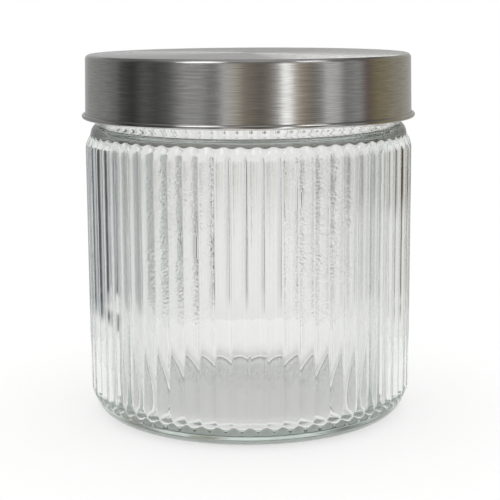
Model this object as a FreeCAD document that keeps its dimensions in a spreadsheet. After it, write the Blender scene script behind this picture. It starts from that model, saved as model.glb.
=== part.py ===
import FreeCAD, Part
import math
import os
import re
import Sketcher

# A round glass storage jar with a pushed-on steel lid, standing on Z = 0 about the Z axis.
# The glass is one moulding: a plain core with upright half-round ribs all round it, a smooth
# heel and shoulder, and a neck with a rounded lip that the lid rests on. The lid is one thin
# drawn sheet with a rolled edge.

SIZES = [
    # the whole
    ("total_height", 122.0, "table to the top of the lid"),
    ("crest_radius", 55.0, "axis to the crest of a rib"),
    # ribs
    ("rib_count", 66, "ribs round the jar"),
    ("rib_radius", 4.0, "round of a rib across its width"),
    ("rib_nose", 7.5, "bend of a crest where a rib runs out"),
    ("rib_over", 0.1, "how far a crest runs on to the shoulder and the heel"),
    # foot and heel
    ("foot_inset", 9.0, "crest in to the outer edge of the ring it stands on"),
    ("foot_width", 2.7, "width of that ring"),
    ("foot_step", 0.8, "step up from the ring to the push-up"),
    ("push_up", 2.2, "rise of the underside at its middle"),
    ("heel_inset", 1.4, "crest in to the core where the lower ribs end"),
    ("heel_height", 6.2, "top of the rounded heel"),
    # shoulder, neck and lip
    ("shoulder_inset", 1.7, "crest in to the core where the upper ribs end"),
    ("shoulder_bend", 4.6, "bend of the shoulder"),
    ("shoulder_rise", 3.7, "height of the bend"),
    ("shoulder_ease", 1.2, "height from the bend to the upright neck"),
    ("neck_inset", 3.7, "crest in to the outside of the neck"),
    ("neck_height", 21.35, "upright neck and lip, up to the rim"),
    ("lip_depth", 8.0, "rim down to the foot of the lip"),
    # inside
    ("body_wall", 3.4, "crest in to the inside of the body"),
    ("neck_wall", 2.9, "glass in the neck"),
    ("floor_height", 6.8, "inside floor"),
    ("floor_corner", 3.5, "round between floor and wall"),
    ("bore_lead", 1.3, "shoulder down to where the inside starts to narrow"),
    ("bore_narrowing", 5.0, "height over which it narrows"),
    # lid
    ("sheet_gauge", 0.45, "steel sheet"),
    ("lid_height", 21.1, "top of the lid to the bottom of its rolled edge"),
    ("lid_inset", 0.5, "crest in to the outside of the skirt at the top"),
    ("skirt_flare", 0.4, "how far the skirt widens on its way down"),
    ("lid_corner", 1.5, "outside round between top and skirt"),
    ("curl_radius", 0.8, "outside of the rolled edge"),
    ("curl_end", 105.0, "angle where the roll stops, short of the skirt"),
    ("lid_clearance", 0.35, "gap between the lip and the inside of the skirt"),
]

doc = FreeCAD.newDocument("StorageJar")
sheet = doc.addObject("Spreadsheet::Sheet", "Sizes")
for row, (alias, value, meaning) in enumerate(SIZES, start=1):
    sheet.set(f"A{row}", meaning)
    sheet.set(f"B{row}", str(value))
    sheet.setAlias(f"B{row}", alias)
doc.recompute()


def bound(text):
    """Formula in which every size, a word with an underscore, is read from the sheet."""
    return re.sub(r"\b([a-z]+_[a-z]+)\b", r"Sizes.\1", text)


def value(text):
    """Number that a formula gives now."""
    result = sheet.evalExpression(bound(text))
    return float(getattr(result, "Value", result))


def arc_between(start, end, radius, turn, large):
    """Arc from start to end, turning left (+1) or right (-1), with its centre worked out."""
    across = end - start
    middle = (start + end) * 0.5
    side = FreeCAD.Vector(-across.y, across.x, 0).normalize()
    reach = math.sqrt(max(radius ** 2 - (across.Length / 2) ** 2, 0))
    centre = middle + side * reach * turn * (-1 if large else 1)
    from_angle = math.atan2(start.y - centre.y, start.x - centre.x)
    to_angle = math.atan2(end.y - centre.y, end.x - centre.x)
    circle = Part.Circle(centre, FreeCAD.Vector(0, 0, 1), radius)
    if turn > 0:
        return Part.ArcOfCircle(circle, from_angle, to_angle)
    return Part.ArcOfCircle(circle, to_angle, from_angle)


def profile(body, name, outline, offset="0"):
    """Closed half section on the XZ plane, offset outward from the Z axis.

    Each corner is (r, z) and, where the side after it is an arc, (r, z, radius, turn), with
    "large" added for more than half a circle. Every corner and radius is bound to the sheet.
    """
    plane = next(f for f in body.Origin.OriginFeatures if f.Role == "XZ_Plane")
    sketch = body.newObject("Sketcher::SketchObject", name)
    sketch.AttachmentSupport = [(plane, "")]
    sketch.MapMode = "FlatFace"
    sketch.AttachmentOffset = FreeCAD.Placement(
        FreeCAD.Vector(value(offset), 0, 0), FreeCAD.Rotation())
    sketch.setExpression("AttachmentOffset.Base.x", bound(offset))
    points = [FreeCAD.Vector(value(corner[0]), value(corner[1]), 0) for corner in outline]
    ends = []
    for index, corner in enumerate(outline):
        start, end = points[index], points[(index + 1) % len(points)]
        if len(corner) > 2:
            turn = corner[3]
            arc = arc_between(start, end, value(corner[2]), turn, "large" in corner)
            side = sketch.addGeometry(arc, False)
            ends.append((side, 1, 2) if turn > 0 else (side, 2, 1))
            sketch.addConstraint(
                Sketcher.Constraint("Radius", side, value(corner[2])))
            sketch.setExpression(f"Constraints[{sketch.ConstraintCount - 1}]", bound(corner[2]))
        else:
            side = sketch.addGeometry(Part.LineSegment(start, end), False)
            ends.append((side, 1, 2))
    for index, corner in enumerate(outline):
        side, first, _ = ends[index]
        before, _, last = ends[index - 1]
        sketch.addConstraint(Sketcher.Constraint("Coincident", before, last, side, first))
        for kind, text, now in (("DistanceX", corner[0], points[index].x),
                                ("DistanceY", corner[1], points[index].y)):
            sketch.addConstraint(Sketcher.Constraint(kind, -1, 1, side, first, now))
            sketch.setExpression(f"Constraints[{sketch.ConstraintCount - 1}]", bound(text))
    return sketch


def turned(body, kind, name, outline, offset="0"):
    """Revolution or Groove of a half section about the upright axis at the offset."""
    sketch = profile(body, name + "_section", outline, offset)
    feature = body.newObject("PartDesign::" + kind, name)
    feature.Profile = sketch
    feature.ReferenceAxis = (sketch, ["V_Axis"])
    feature.Angle = 360
    doc.recompute()
    return feature


# ---- glass ---------------------------------------------------------------------------------
# Core of the moulding, solid for now: push-up, foot ring, heel, wall, shoulder, neck and lip.
# The lip is a full round that touches the underside of the lid, and it stands clear of the
# skirt by lid_clearance.
glass = doc.addObject("PartDesign::Body", "Glass")
glass.Label = "glass_jar"
glass.Placement = FreeCAD.Placement()

RIM = "(total_height - sheet_gauge)"
NECK_BASE = f"({RIM} - neck_height)"
SHOULDER = f"({NECK_BASE} - shoulder_ease - shoulder_rise)"
SHOULDER_R = "(crest_radius - shoulder_inset)"
SHOULDER_DROP = "(shoulder_bend - sqrt(shoulder_bend ^ 2 - shoulder_rise ^ 2))"
NECK_R = "(crest_radius - neck_inset)"
MOUTH_R = f"({NECK_R} - neck_wall)"
LID_R = "(crest_radius - lid_inset)"
LIP_R = f"({LID_R} - sheet_gauge - lid_clearance)"
LIP_ROUND = f"(({LIP_R} - {MOUTH_R}) / 2)"
HEEL_R = "(crest_radius - heel_inset)"
FOOT_R = "(crest_radius - foot_inset)"
HEEL_BEND = f"((({HEEL_R} - {FOOT_R}) ^ 2 + heel_height ^ 2) / (2 * heel_height))"
PUSH_UP_R = f"({FOOT_R} - foot_width - foot_step)"
PUSH_UP_BEND = f"(({PUSH_UP_R} ^ 2 + (push_up - foot_step) ^ 2) / (2 * (push_up - foot_step)))"

turned(glass, "Revolution", "Core", [
    ("0", "push_up", PUSH_UP_BEND, -1),
    (PUSH_UP_R, "foot_step"),
    (f"{FOOT_R} - foot_width", "0"),
    (FOOT_R, "0", HEEL_BEND, 1),
    (HEEL_R, "heel_height"),
    (SHOULDER_R, SHOULDER, "shoulder_bend", 1),
    (f"{SHOULDER_R} - {SHOULDER_DROP}", f"{NECK_BASE} - shoulder_ease"),
    (NECK_R, NECK_BASE),
    (NECK_R, f"{RIM} - lip_depth"),
    (LIP_R, f"{RIM} - (lip_depth + {LIP_ROUND}) / 2"),
    (LIP_R, f"{RIM} - {LIP_ROUND}", LIP_ROUND, 1),
    (f"{LIP_R} - {LIP_ROUND}", RIM, LIP_ROUND, 1),
    (MOUTH_R, f"{RIM} - {LIP_ROUND}"),
    ("0", f"{RIM} - {LIP_ROUND}"),
])
core_volume = glass.Shape.Volume

# One rib is a round bar that stands half sunk in the wall, with a long nose at each end. The
# crest bends in along the nose and runs out just on the shoulder and on the rounded heel.
# Neighbours overlap, so that the furrow between two ribs is a sharp valley.
NOSE_TIP = "sqrt(rib_nose ^ 2 - (rib_nose - rib_radius) ^ 2)"
RIB_LOW = "(heel_height - rib_over + sqrt(rib_nose ^ 2 - (rib_nose - heel_inset) ^ 2))"
RIB_HIGH = f"({SHOULDER} + rib_over - sqrt(rib_nose ^ 2 - (rib_nose - shoulder_inset) ^ 2))"
rib = turned(glass, "Revolution", "Rib", [
    ("0", f"{RIB_LOW} - {NOSE_TIP}", "rib_nose", 1),
    ("rib_radius", RIB_LOW),
    ("rib_radius", RIB_HIGH, "rib_nose", 1),
    ("0", f"{RIB_HIGH} + {NOSE_TIP}"),
], offset="crest_radius - rib_radius")
ribs = glass.newObject("PartDesign::PolarPattern", "Ribs")
ribs.Originals = [rib]
ribs.Axis = (next(f for f in glass.Origin.OriginFeatures if f.Role == "Z_Axis"), [""])
ribs.Angle = 360
ribs.setExpression("Occurrences", bound("rib_count"))
glass.Tip = ribs
doc.recompute()
ribbed_volume = glass.Shape.Volume

# The inside is smooth: a flat floor, a rounded corner, an upright wall and a gentle double
# bend in to the mouth.
BORE_R = "(crest_radius - body_wall)"
BORE_TOP = f"({SHOULDER} - bore_lead)"
HALF_STEP = f"(({BORE_R} - {MOUTH_R}) / 2)"
MOUTH_BEND = f"(({HALF_STEP} ^ 2 + (bore_narrowing / 2) ^ 2) / (2 * {HALF_STEP}))"
bore = turned(glass, "Groove", "Inside", [
    ("0", "floor_height"),
    (f"{BORE_R} - floor_corner", "floor_height", "floor_corner", 1),
    (BORE_R, "floor_height + floor_corner"),
    (BORE_R, BORE_TOP, MOUTH_BEND, 1),
    (f"{BORE_R} - {HALF_STEP}", f"{BORE_TOP} + bore_narrowing / 2", MOUTH_BEND, -1),
    (MOUTH_R, f"{BORE_TOP} + bore_narrowing"),
    (MOUTH_R, "total_height"),
    ("0", "total_height"),
])
glass.Tip = bore

# ---- lid -----------------------------------------------------------------------------------
# One sheet of even gauge: flat top, rounded corner, skirt that widens a little downward, and
# an edge rolled outward until it nearly meets the skirt again.
lid = doc.addObject("PartDesign::Body", "Lid")
lid.Label = "steel_lid"
lid.Placement = FreeCAD.Placement()

SKIRT_FOOT = f"({LID_R} + skirt_flare)"
CURL_R = f"({SKIRT_FOOT} - sheet_gauge + curl_radius)"
CURL_Z = "(total_height - lid_height + curl_radius)"
CURL_INSIDE = "(curl_radius - sheet_gauge)"
AROUND = "cos(curl_end * 1 deg)"
ABOVE = "sin(curl_end * 1 deg)"

turned(lid, "Revolution", "Sheet", [
    ("0", "total_height - sheet_gauge"),
    (f"{LID_R} - lid_corner", "total_height - sheet_gauge", "lid_corner - sheet_gauge", -1),
    (f"{LID_R} - sheet_gauge", "total_height - lid_corner"),
    (f"{SKIRT_FOOT} - sheet_gauge", CURL_Z, "curl_radius", 1, "large"),
    (f"{CURL_R} + curl_radius * {AROUND}", f"{CURL_Z} + curl_radius * {ABOVE}"),
    (f"{CURL_R} + {CURL_INSIDE} * {AROUND}", f"{CURL_Z} + {CURL_INSIDE} * {ABOVE}",
     CURL_INSIDE, -1, "large"),
    (SKIRT_FOOT, CURL_Z),
    (LID_R, "total_height - lid_corner", "lid_corner", 1),
    (f"{LID_R} - lid_corner", "total_height"),
    ("0", "total_height"),
])

# ---- checks and export ---------------------------------------------------------------------
doc.recompute()
for item in doc.Objects:
    if {"Invalid", "Error"} & set(item.State):
        raise RuntimeError(f"{item.Name} failed: {item.State}")
for sketch in doc.findObjects("Sketcher::SketchObject"):
    if sketch.solve() != 0:
        raise RuntimeError(f"{sketch.Name} is not solved")
if not core_volume < ribbed_volume or not glass.Shape.Volume < ribbed_volume:
    raise RuntimeError("a rib or the inside of the jar is missing")

os.makedirs("parts", exist_ok=True)
for body in (glass, lid):
    shape = body.Shape
    if shape.isNull() or not shape.isValid() or len(shape.Solids) != 1:
        raise RuntimeError(f"{body.Label} is not one valid solid")
    shape.exportStep(f"parts/{body.Label}.step")
    box = shape.BoundBox
    print(f"{body.Label}: {shape.Volume / 1000:.1f} cm3, {len(shape.Faces)} faces, "
          f"z {box.ZMin:.2f} to {box.ZMax:.2f}, width {box.XLength:.2f}")
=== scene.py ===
import math

import bmesh
import bpy
from mathutils import Matrix, Vector


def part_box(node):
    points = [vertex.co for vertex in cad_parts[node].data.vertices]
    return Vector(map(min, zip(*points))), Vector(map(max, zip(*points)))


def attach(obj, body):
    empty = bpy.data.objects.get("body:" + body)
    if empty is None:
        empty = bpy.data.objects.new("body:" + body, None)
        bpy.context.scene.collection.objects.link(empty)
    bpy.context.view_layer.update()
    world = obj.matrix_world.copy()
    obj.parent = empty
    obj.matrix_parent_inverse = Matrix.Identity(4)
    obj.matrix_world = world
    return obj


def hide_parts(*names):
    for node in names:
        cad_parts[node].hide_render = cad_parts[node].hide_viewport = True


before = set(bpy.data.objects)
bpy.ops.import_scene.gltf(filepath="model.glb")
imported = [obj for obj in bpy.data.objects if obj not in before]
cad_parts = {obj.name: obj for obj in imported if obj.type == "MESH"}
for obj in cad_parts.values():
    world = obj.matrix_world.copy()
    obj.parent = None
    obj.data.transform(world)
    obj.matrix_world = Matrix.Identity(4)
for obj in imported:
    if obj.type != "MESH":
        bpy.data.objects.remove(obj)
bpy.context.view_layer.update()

# ---- Glass jar ------------------------------------------------------------------------------
# Clear soda-lime glass, blown in a two-part mould and fire polished. Upright half-round ribs
# stand side by side all round the wall and run out in round noses above the heel and below the
# shoulder. The full-round lip on the neck carries the lid.
mm = 0.001
jar_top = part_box("glass_jar")[1]
crest_r = jar_top.x
rim_z = jar_top.z

rib_count = 66
rib_steps = 12
rib_r = 4.0 * mm
rib_axis_r = crest_r - rib_r
rib_nose = 7.5 * mm
nose_over = 0.6 * mm
# Fire polishing melts the valleys between the ribs, and the line where ribs meet the wall.
valley_melt = 0.16 * mm
wall_melt = 0.12 * mm

foot_r = crest_r - 9.0 * mm
foot_width = 2.7 * mm
foot_step = 0.8 * mm
push_up = 2.2 * mm
push_up_bend = 646 * mm
heel_r, heel_z = crest_r - 1.4 * mm, 6.2 * mm
heel_bend = 7.76 * mm

shoulder_r, shoulder_z = crest_r - 1.7 * mm, 95.3 * mm
shoulder_bend = 4.6 * mm
shoulder_rise = 3.7 * mm
shoulder_ease = 1.2 * mm
neck_r = crest_r - 3.7 * mm
neck_start_r = neck_r + 0.13 * mm
mouth_r = neck_r - 2.9 * mm
lip_r = crest_r - 1.3 * mm
lip_depth = 8.0 * mm
lip_band = 2.8 * mm
lip_bend = (lip_r - mouth_r) / 2

bore_r, bore_top = crest_r - 3.4 * mm, shoulder_z - 1.3 * mm
bore_ease = 5.0 * mm
floor_z = 6.8 * mm
floor_bend = 3.5 * mm


def run_to(form, last, r, z, steps=1):
    """Straight edges in the upright plane from the section's last point to (r, z)."""
    start, end = last.co.copy(), Vector((r, 0, z))
    for n in range(1, steps + 1):
        last = bmesh.ops.extrude_vert_indiv(form, verts=[last])["verts"][0]
        last.co = start.lerp(end, n / steps)
    return last


def arc_to(form, last, r, z, radius, steps, hollow=False):
    """Edges on an arc from the section's last point to (r, z), turning left unless hollow."""
    start, end = last.co.copy(), Vector((r, 0, z))
    chord = end - start
    way = -1 if hollow else 1
    left = Vector((-chord.z, 0, chord.x)).normalized()
    sag = math.sqrt(max(radius ** 2 - chord.length_squared / 4, 0))
    turned = bmesh.ops.spin(
        form, geom=[last], cent=(start + end) / 2 + left * sag * way, axis=(0, -way, 0),
        angle=2 * math.asin(min(chord.length / 2 / radius, 1)), steps=steps)
    last = next(item for item in turned["geom_last"] if isinstance(item, bmesh.types.BMVert))
    last.co = end
    return last


def close_up(form, name):
    """Mesh object from a turned form, with its seam and poles merged and its faces outwards."""
    bmesh.ops.remove_doubles(form, verts=form.verts[:], dist=0.002 * mm)
    bmesh.ops.recalc_face_normals(form, faces=form.faces[:])
    mesh = bpy.data.meshes.new(name)
    form.to_mesh(mesh)
    form.free()
    mesh.shade_smooth()
    piece = bpy.data.objects.new(name, mesh)
    bpy.context.scene.collection.objects.link(piece)
    return piece


nose_low = heel_z + math.sqrt(rib_nose ** 2 - (rib_nose - crest_r + heel_r) ** 2)
nose_high = shoulder_z - math.sqrt(rib_nose ** 2 - (rib_nose - crest_r + shoulder_r) ** 2)

# The section starts under the middle of the floor, goes up the outside and over the lip, and
# comes back down the bore to the middle of the floor.
form = bmesh.new()
tip = form.verts.new((0, 0, push_up))
tip = arc_to(form, tip, foot_r - foot_width - foot_step, foot_step, push_up_bend, 6, hollow=True)
tip = run_to(form, tip, foot_r - foot_width, 0, 2)
tip = run_to(form, tip, foot_r, 0, 2)
tip = arc_to(form, tip, heel_r, heel_z, heel_bend, 10)
tip = run_to(form, tip, heel_r, nose_low + nose_over, 14)
tip = run_to(form, tip, shoulder_r, nose_high - nose_over, 5)
tip = run_to(form, tip, shoulder_r, shoulder_z, 14)
tip = arc_to(form, tip, neck_start_r, shoulder_z + shoulder_rise, shoulder_bend, 8)
tip = run_to(form, tip, neck_r, shoulder_z + shoulder_rise + shoulder_ease, 2)
tip = run_to(form, tip, neck_r, rim_z - lip_depth, 3)
tip = run_to(form, tip, lip_r, rim_z - lip_band - lip_bend, 3)
tip = run_to(form, tip, lip_r, rim_z - lip_bend)
tip = arc_to(form, tip, lip_r - lip_bend, rim_z, lip_bend, 5)
tip = arc_to(form, tip, mouth_r, rim_z - lip_bend, lip_bend, 5)
tip = run_to(form, tip, mouth_r, bore_top + bore_ease, 2)
swing = (bore_ease ** 2 + (bore_r - mouth_r) ** 2) / (bore_r - mouth_r) / 4
tip = arc_to(form, tip, (mouth_r + bore_r) / 2, bore_top + bore_ease / 2, swing, 4)
tip = arc_to(form, tip, bore_r, bore_top, swing, 4, hollow=True)
tip = run_to(form, tip, bore_r, floor_z + floor_bend, 3)
tip = arc_to(form, tip, bore_r - floor_bend, floor_z, floor_bend, 8, hollow=True)
run_to(form, tip, 0, floor_z, 4)

# One rib and its valley are turned and shaped, then copied round.
pitch = 2 * math.pi / rib_count
bmesh.ops.spin(form, geom=form.verts[:] + form.edges[:], cent=(0, 0, 0), axis=(0, 0, 1),
               angle=pitch, steps=rib_steps)


def rib_reach(turn, z):
    """Radius of a rib's surface, turn radians round from its crest, at height z."""
    past = max(nose_low - z, z - nose_high, 0)
    girth = rib_r - rib_nose + math.sqrt(max(rib_nose ** 2 - past ** 2, 0))
    side = girth ** 2 - (rib_axis_r * math.sin(turn)) ** 2
    return rib_axis_r * math.cos(turn) + math.sqrt(side) if side > 0 else 0


def melt(a, b, fillet):
    """The larger of two radii, with the corner between them melted by the fillet."""
    return (a + b + math.sqrt((a - b) ** 2 + fillet ** 2)) / 2


# Only the outside of the wall, from the heel to the shoulder, grows out to the ribs.
end_play = 0.2 * mm
skin_depth = 1 * mm
for vert in form.verts:
    r = vert.co.xy.length
    if heel_z - end_play < vert.co.z < shoulder_z + end_play and r > bore_r + skin_depth:
        turn = math.atan2(vert.co.y, vert.co.x)
        ribs = melt(rib_reach(turn, vert.co.z), rib_reach(pitch - turn, vert.co.z), valley_melt)
        grown = melt(r, ribs, wall_melt) if ribs > r - skin_depth else r
        vert.co.xy *= min(grown, crest_r) / r

bmesh.ops.spin(form, geom=form.verts[:] + form.edges[:] + form.faces[:], cent=(0, 0, 0),
               axis=(0, 0, 1), angle=2 * math.pi - pitch, steps=rib_count - 1,
               use_duplicate=True)
jar = close_up(form, "jar")
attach(jar, "root")
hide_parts("glass_jar")


def fade(tree, source, low, high, start=0, end=1):
    """Value that goes from start to end while the source goes from low to high."""
    ramp = tree.nodes.new("ShaderNodeMapRange")
    ramp.inputs["From Min"].default_value = low
    ramp.inputs["From Max"].default_value = high
    ramp.inputs["To Min"].default_value = start
    ramp.inputs["To Max"].default_value = end
    tree.links.new(source, ramp.inputs["Value"])
    return ramp.outputs["Result"]


def product(tree, *factors):
    """Product of two or more values."""
    result = factors[0]
    for factor in factors[1:]:
        times = tree.nodes.new("ShaderNodeMath")
        times.operation = "MULTIPLY"
        tree.links.new(result, times.inputs[0])
        tree.links.new(factor, times.inputs[1])
        result = times.outputs[0]
    return result


def mottle(tree, place, scale, detail=1):
    """Soft noise with about that scale of spots to one unit of the place."""
    noise = tree.nodes.new("ShaderNodeTexNoise")
    noise.inputs["Scale"].default_value = scale
    noise.inputs["Detail"].default_value = detail
    tree.links.new(place, noise.inputs["Vector"])
    return noise.outputs["Fac"]


def raised(tree, height, strength, distance):
    """Bump node that raises the surface by a height."""
    bump = tree.nodes.new("ShaderNodeBump")
    bump.inputs["Strength"].default_value = strength
    bump.inputs["Distance"].default_value = distance
    tree.links.new(height, bump.inputs["Height"])
    return bump


# Jar and lid are both round, so their finishes follow the distance out from the upright axis
# and the height.
round_place = bpy.data.node_groups.new("round_place", "ShaderNodeTree")
for name, way, kind in (("Place", "INPUT", "NodeSocketVector"),
                        ("Radius", "OUTPUT", "NodeSocketFloat"),
                        ("Height", "OUTPUT", "NodeSocketFloat")):
    round_place.interface.new_socket(name, in_out=way, socket_type=kind)
arriving = round_place.nodes.new("NodeGroupInput")
leaving = round_place.nodes.new("NodeGroupOutput")
flat = round_place.nodes.new("ShaderNodeVectorMath")
flat.operation = "MULTIPLY"
flat.inputs[1].default_value = (1, 1, 0)
reach = round_place.nodes.new("ShaderNodeVectorMath")
reach.operation = "LENGTH"
upright = round_place.nodes.new("ShaderNodeSeparateXYZ")
round_place.links.new(arriving.outputs["Place"], flat.inputs[0])
round_place.links.new(flat.outputs["Vector"], reach.inputs[0])
round_place.links.new(reach.outputs["Value"], leaving.inputs["Radius"])
round_place.links.new(arriving.outputs["Place"], upright.inputs["Vector"])
round_place.links.new(upright.outputs["Z"], leaving.inputs["Height"])

clear = bpy.data.materials.new("clear_glass")
clear.use_nodes = True
tree = clear.node_tree
glass = tree.nodes["Principled BSDF"]
glass.inputs["Base Color"].default_value = (0.945, 0.945, 0.94, 1)
glass.inputs["Metallic"].default_value = 0
glass.inputs["Roughness"].default_value = 0.012
glass.inputs["IOR"].default_value = 1.51
glass.inputs["Transmission Weight"].default_value = 1
place = tree.nodes.new("ShaderNodeTexCoord").outputs["Object"]
around = tree.nodes.new("ShaderNodeGroup")
around.node_tree = round_place
tree.links.new(place, around.inputs["Place"])
height = around.outputs["Height"]

# The whole surface is a little wavy. The mould leaves a fine orange peel in upright patches on
# the wall as well, left and right of the front and of the back. Each pair of numbers is where a
# side of these patches starts and where it is at its full strength.
peel_near, peel_far = (10 * mm, 15 * mm), (33 * mm, 28 * mm)
peel_low, peel_high = (38 * mm, 56 * mm), (92 * mm, 89 * mm)
waves = raised(tree, mottle(tree, place, 70), 0.3, 0.5 * mm)
spot = tree.nodes.new("ShaderNodeSeparateXYZ")
tree.links.new(place, spot.inputs["Vector"])
sideways = tree.nodes.new("ShaderNodeMath")
sideways.operation = "ABSOLUTE"
tree.links.new(spot.outputs["X"], sideways.inputs[0])
aside = sideways.outputs[0]
grain = product(
    tree, mottle(tree, place, 1150), fade(tree, aside, *peel_near), fade(tree, aside, *peel_far),
    fade(tree, height, *peel_low), fade(tree, height, *peel_high),
    fade(tree, mottle(tree, place, 90), 0.36, 0.5))
skin = raised(tree, grain, 1, 0.18 * mm)
tree.links.new(waves.outputs["Normal"], skin.inputs["Normal"])
tree.links.new(skin.outputs["Normal"], glass.inputs["Normal"])

# The underside, inside the foot ring, keeps the matt grain of the mould's bottom plate.
plate_rim = (foot_r - 2 * mm, foot_r - 4 * mm)
plate_top = (4 * mm, 3 * mm)
plate = product(tree, fade(tree, around.outputs["Radius"], *plate_rim),
                fade(tree, height, *plate_top))
tree.links.new(fade(tree, plate, 0, 1, 0.012, 0.4), glass.inputs["Roughness"])

# The glass itself is faintly green, which shows where it is thick.
tint = tree.nodes.new("ShaderNodeVolumeAbsorption")
tint.inputs["Color"].default_value = (0.67, 0.755, 0.705, 1)
tint.inputs["Density"].default_value = 12
tree.links.new(tint.outputs["Volume"], tree.nodes["Material Output"].inputs["Volume"])
jar.data.materials.append(clear)

# ---- Steel lid ------------------------------------------------------------------------------
# One drawn cup of thin brushed stainless steel that rests on the glass lip. Its foot is rolled
# outwards into a hollow curl, and the brushing runs round both the skirt and the top.
lid_low, lid_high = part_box("steel_lid")
gauge = 0.45 * mm
lid_r = crest_r - 0.5 * mm
foot_out = 0.4 * mm
skirt_foot_r = lid_r + foot_out - gauge
corner = 1.5 * mm
curl_r = 0.8 * mm
curl_inside = curl_r - gauge
curl_axis, curl_z = skirt_foot_r + curl_r, lid_low.z + curl_r
curl_stop = math.radians(105)
lid_steps = 360

# The section starts under the middle of the top, goes down the inside of the skirt and round
# the outside of the curl to its edge, then back inside the curl and up the outside.
form = bmesh.new()
tip = form.verts.new((0, 0, lid_high.z - gauge))
tip = run_to(form, tip, lid_r - corner, lid_high.z - gauge, 3)
tip = arc_to(form, tip, lid_r - gauge, lid_high.z - corner, corner - gauge, 5, hollow=True)
tip = run_to(form, tip, skirt_foot_r, curl_z, 4)
tip = arc_to(form, tip, curl_axis, lid_low.z, curl_r, 6)
tip = arc_to(form, tip, curl_axis + curl_r, curl_z, curl_r, 6)
tip = arc_to(form, tip, curl_axis + curl_r * math.cos(curl_stop),
             curl_z + curl_r * math.sin(curl_stop), curl_r, 7)
tip = run_to(form, tip, curl_axis + curl_inside * math.cos(curl_stop),
             curl_z + curl_inside * math.sin(curl_stop))
tip = arc_to(form, tip, curl_axis + curl_inside, curl_z, curl_inside, 6, hollow=True)
tip = arc_to(form, tip, curl_axis, curl_z - curl_inside, curl_inside, 5, hollow=True)
tip = arc_to(form, tip, curl_axis - curl_inside, curl_z, curl_inside, 5, hollow=True)
tip = run_to(form, tip, lid_r, lid_high.z - corner, 4)
tip = arc_to(form, tip, lid_r - corner, lid_high.z, corner, 8)
run_to(form, tip, 0, lid_high.z, 4)
bmesh.ops.spin(form, geom=form.verts[:] + form.edges[:], cent=(0, 0, 0), axis=(0, 0, 1),
               angle=2 * math.pi, steps=lid_steps, use_merge=True)
lid = close_up(form, "lid")
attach(lid, "root")
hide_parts("steel_lid")

brushed = bpy.data.materials.new("brushed_steel")
brushed.use_nodes = True
tree = brushed.node_tree
steel = tree.nodes["Principled BSDF"]
steel.inputs["Metallic"].default_value = 1
steel.inputs["Anisotropic"].default_value = 0.9
steel.inputs["Anisotropic Rotation"].default_value = 0.25
round_about = tree.nodes.new("ShaderNodeTangent")
round_about.direction_type = "RADIAL"
round_about.axis = "Z"
tree.links.new(round_about.outputs["Tangent"], steel.inputs["Tangent"])

# The brushing follows the height up the skirt and the distance in from the rim on the top, so
# that one pattern runs round both.
place = tree.nodes.new("ShaderNodeTexCoord").outputs["Object"]
around = tree.nodes.new("ShaderNodeGroup")
around.node_tree = round_place
tree.links.new(place, around.inputs["Place"])
lowered = tree.nodes.new("ShaderNodeCombineXYZ")
tree.links.new(around.outputs["Radius"], lowered.inputs["Z"])
track = tree.nodes.new("ShaderNodeVectorMath")
track.operation = "SUBTRACT"
tree.links.new(place, track.inputs[0])
tree.links.new(lowered.outputs["Vector"], track.inputs[1])


def scratches(along, across, seed):
    """Noise drawn out along the brushing: strokes per metre along and across it."""
    stretch = tree.nodes.new("ShaderNodeMapping")
    stretch.inputs["Location"].default_value = (seed, seed, seed)
    stretch.inputs["Scale"].default_value = (along, along, across)
    tree.links.new(track.outputs["Vector"], stretch.inputs["Vector"])
    return mottle(tree, stretch.outputs["Vector"], 1, 2)


fine = scratches(150, 6500, 3.1)
coarse = scratches(60, 3000, 7.7)
grey = tree.nodes.new("ShaderNodeValToRGB")
grey.color_ramp.elements[0].position = 0.3
grey.color_ramp.elements[0].color = (0.50, 0.495, 0.48, 1)
grey.color_ramp.elements[1].position = 0.7
grey.color_ramp.elements[1].color = (0.72, 0.715, 0.70, 1)
tree.links.new(fine, grey.inputs["Fac"])
tree.links.new(grey.outputs["Color"], steel.inputs["Base Color"])

# Rolling has polished the curl smoother than the brushed sheet above it.
curl_top = lid_low.z + 1.7 * mm
polish = fade(tree, around.outputs["Height"], curl_top + 0.4 * mm, curl_top, 1, 0.35)
rough = product(tree, fade(tree, coarse, 0.3, 0.7, 0.17, 0.26), polish)
tree.links.new(rough, steel.inputs["Roughness"])
grooves = raised(tree, fine, 0.35, 0.01 * mm)
tree.links.new(grooves.outputs["Normal"], steel.inputs["Normal"])
lid.data.materials.append(brushed)

# ---- Table ----------------------------------------------------------------------------------
# A round pale matt board that the jar stands on. It glows a little, so that its edge is lost in
# the white of the studio and the jar leaves only a faint shadow.
board_r = 130 * mm
form = bmesh.new()
bmesh.ops.create_circle(form, cap_ends=True, segments=96, radius=board_r)
mesh = bpy.data.meshes.new("table")
form.to_mesh(mesh)
form.free()
table = bpy.data.objects.new("table", mesh)
bpy.context.scene.collection.objects.link(table)
pale = bpy.data.materials.new("pale_table")
pale.use_nodes = True
board = pale.node_tree.nodes["Principled BSDF"]
board.inputs["Base Color"].default_value = (0.42, 0.42, 0.416, 1)
board.inputs["Roughness"].default_value = 1
board.inputs["Specular IOR Level"].default_value = 0
board.inputs["Emission Color"].default_value = (1, 1, 1, 1)
board.inputs["Emission Strength"].default_value = 0.62
table.data.materials.append(pale)

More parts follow.
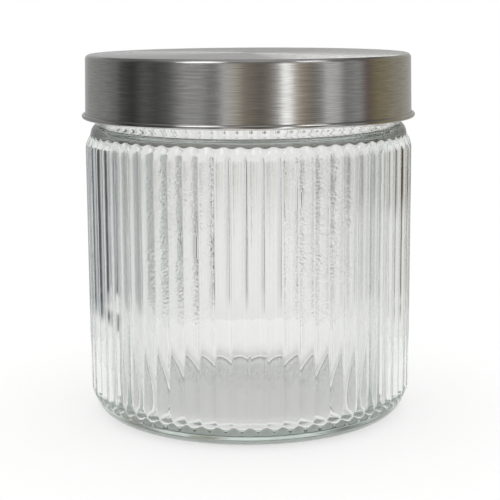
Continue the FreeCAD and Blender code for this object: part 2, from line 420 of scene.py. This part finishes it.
# ---- Studio light ---------------------------------------------------------------------------
# A plain white studio, even all round. Far off stand white, grey and dark brown cards and
# three soft lamps, which only the steel and the glass show.
world = bpy.data.worlds.new("studio")
bpy.context.scene.world = world
world.use_nodes = True
tree = world.node_tree
glow = tree.nodes["Background"]
glow.inputs["Strength"].default_value = 1
aim = tree.nodes.new("ShaderNodeTexCoord").outputs["Generated"]
axes = tree.nodes.new("ShaderNodeSeparateXYZ")
tree.links.new(aim, axes.inputs["Vector"])
back = tree.nodes.new("ShaderNodeMath")
back.operation = "MULTIPLY"
back.inputs[1].default_value = -1
tree.links.new(axes.outputs["Y"], back.inputs[0])
heading = tree.nodes.new("ShaderNodeMath")
heading.operation = "ARCTAN2"
tree.links.new(axes.outputs["X"], heading.inputs[0])
tree.links.new(back.outputs[0], heading.inputs[1])
compass = fade(tree, heading.outputs[0], -math.pi, math.pi)


def cards(stops):
    """Ramp round the studio, from (degrees right of the front, grey or colour) stops."""
    ramp = tree.nodes.new("ShaderNodeValToRGB")
    band = ramp.color_ramp
    while len(band.elements) < len(stops):
        band.elements.new(0.5)
    for element, (degrees, shade) in zip(band.elements, stops):
        element.position = (degrees + 180) / 360
        shade = shade if isinstance(shade, tuple) else (shade,) * 3
        element.color = (*shade, 1)
    tree.links.new(compass, ramp.inputs["Fac"])
    return ramp.outputs["Color"]


def shade_over(mask, below, over):
    """Colour that goes from below to over by a mask, each a socket or a plain grey."""
    mix = tree.nodes.new("ShaderNodeMix")
    mix.data_type = "RGBA"
    tree.links.new(mask, mix.inputs["Factor"])
    for name, shade in (("A", below), ("B", over)):
        if isinstance(shade, bpy.types.NodeSocket):
            tree.links.new(shade, mix.inputs[name])
        else:
            mix.inputs[name].default_value = (shade, shade, shade, 1)
    return mix.outputs["Result"]


def soft_fade(source, low, high):
    """Mask from 0 to 1 with an eased start and end, while the source goes from low to high."""
    eased = fade(tree, source, low, high)
    eased.node.interpolation_type = "SMOOTHSTEP"
    return eased


def above(low, high):
    """Mask from 0 to 1 between two heights on the studio's unit ball."""
    return soft_fade(axes.outputs["Z"], low, high)


def lamp_mask(degrees, up, spread):
    """Soft round mask about a heading and height, both in degrees."""
    level = math.cos(math.radians(up))
    toward = tree.nodes.new("ShaderNodeVectorMath")
    toward.operation = "DOT_PRODUCT"
    toward.inputs[1].default_value = (math.sin(math.radians(degrees)) * level,
                                      -math.cos(math.radians(degrees)) * level,
                                      math.sin(math.radians(up)))
    tree.links.new(aim, toward.inputs[0])
    return soft_fade(toward.outputs["Value"], math.cos(math.radians(spread * 1.3)),
                     math.cos(math.radians(spread * 0.7)))


# What the steel and the outside of the glass mirror: cards all round, darker overhead, with a
# lamp high on each side and one low behind.
ring = cards([
    (-180, 0.55), (-146, 0.33), (-118, 0.26), (-102, 0.16), (-99, 0.08), (-86, 0.03),
    (-76, 0.11), (-66, 0.06), (-56, 0.11), (-44, 0.36), (-32, 0.33), (-26, 0.20),
    (-21, 0.24), (-16, 0.58), (-7, (0.44, 0.40, 0.34)), (-3, (0.26, 0.22, 0.18)),
    (9, (0.14, 0.125, 0.105)), (16, (0.26, 0.23, 0.20)), (21, 0.5), (24, 1.4), (28, 1.4),
    (32, (0.6, 0.55, 0.48)), (37, (0.36, 0.30, 0.25)), (45, (0.19, 0.17, 0.14)), (52, 0.3),
    (55, 0.62), (64, 0.55), (70, 0.22), (82, 0.33), (90, (0.14, 0.10, 0.09)),
    (102, (0.24, 0.205, 0.12)), (180, 0.5)])
overhead = shade_over(above(0.35, 0.62), ring, shade_over(above(0.7, 0.95), 0.13, 0.42))
lamp_left = shade_over(lamp_mask(-42, 48, 13), overhead, 2.6)
lamp_right = shade_over(lamp_mask(57, 48, 9), lamp_left, 2.6)
shiny = shade_over(lamp_mask(172, 20, 6), lamp_right, 2.4)

# What shows through the glass, far behind it: white paper with two slate strips on the left and
# a narrow brown one on the right, and higher on the right two strips of brown wood in front of
# the paper. Below them it is plain white, and overhead plain grey.
paper = cards([
    (-180, 0.98), (-177, 0.97), (-173, 0.82), (-170, 0.82), (-167, 0.96), (-163, 0.85),
    (-159, (0.44, 0.47, 0.50)), (-156, 0.06), (-151, 0.06), (-148, (0.42, 0.45, 0.48)),
    (-144, (0.62, 0.64, 0.66)), (-139, (0.30, 0.33, 0.36)), (-136, 0.05), (-128, 0.05),
    (-124, (0.44, 0.47, 0.50)), (-116, 0.8), (-90, 0.9), (90, 0.9), (120, 0.88), (144, 0.85),
    (146, (0.26, 0.22, 0.18)), (150, (0.26, 0.22, 0.18)), (152, 0.85), (155, 0.95),
    (166, 0.98), (169, 0.86), (172, 0.98), (180, 0.98)])
wood = cards([
    (-180, 0.97), (90, 0.9), (118, 0.8), (134, 0.75), (142, (0.44, 0.40, 0.32)),
    (144, (0.03, 0.02, 0.01)), (152, (0.03, 0.02, 0.01)), (154, (0.40, 0.36, 0.29)),
    (158, 0.85), (164, 0.93), (167, (0.32, 0.28, 0.21)), (171, (0.32, 0.28, 0.21)),
    (174, 0.95), (180, 0.97)])
right = tree.nodes.new("ShaderNodeMath")
right.operation = "GREATER_THAN"
right.inputs[1].default_value = 0
tree.links.new(axes.outputs["X"], right.inputs[0])
high_right = product(tree, above(-0.16, -0.08), right.outputs[0])
behind = shade_over(high_right, paper, wood)
low_white = shade_over(above(-0.235, -0.205), 0.92, behind)
seen_through = shade_over(above(0.2, 0.5), low_white, 0.75)
path = tree.nodes.new("ShaderNodeLightPath")
shine = shade_over(path.outputs["Is Glossy Ray"], 1.0, shiny)
studio = shade_over(path.outputs["Is Transmission Ray"], shine, seen_through)
tree.links.new(studio, glow.inputs["Color"])

# ---- Camera ---------------------------------------------------------------------------------
# A camera on a stand about half a metre in front of the jar, a little above its lid, looking
# slightly down. The light passes many times through the ribs, so its path is followed far.
lens = bpy.data.cameras.new("camera")
lens.sensor_width = 36
lens.lens = 102.345
lens.clip_start = 0.01
camera = bpy.data.objects.new("camera", lens)
bpy.context.scene.collection.objects.link(camera)
camera.location = (0.00028, -0.481934, 0.139808)
look_down, lean = math.radians(10.013), math.radians(-0.354)
aimed = Matrix.Rotation(math.pi / 2 - look_down, 4, "X") @ Matrix.Rotation(lean, 4, "Z")
camera.rotation_euler = aimed.to_euler()
bpy.context.scene.camera = camera
bpy.context.scene.view_settings.view_transform = "Standard"
bpy.context.scene.cycles.max_bounces = 24
bpy.context.scene.cycles.glossy_bounces = 24
bpy.context.scene.cycles.transmission_bounces = 24
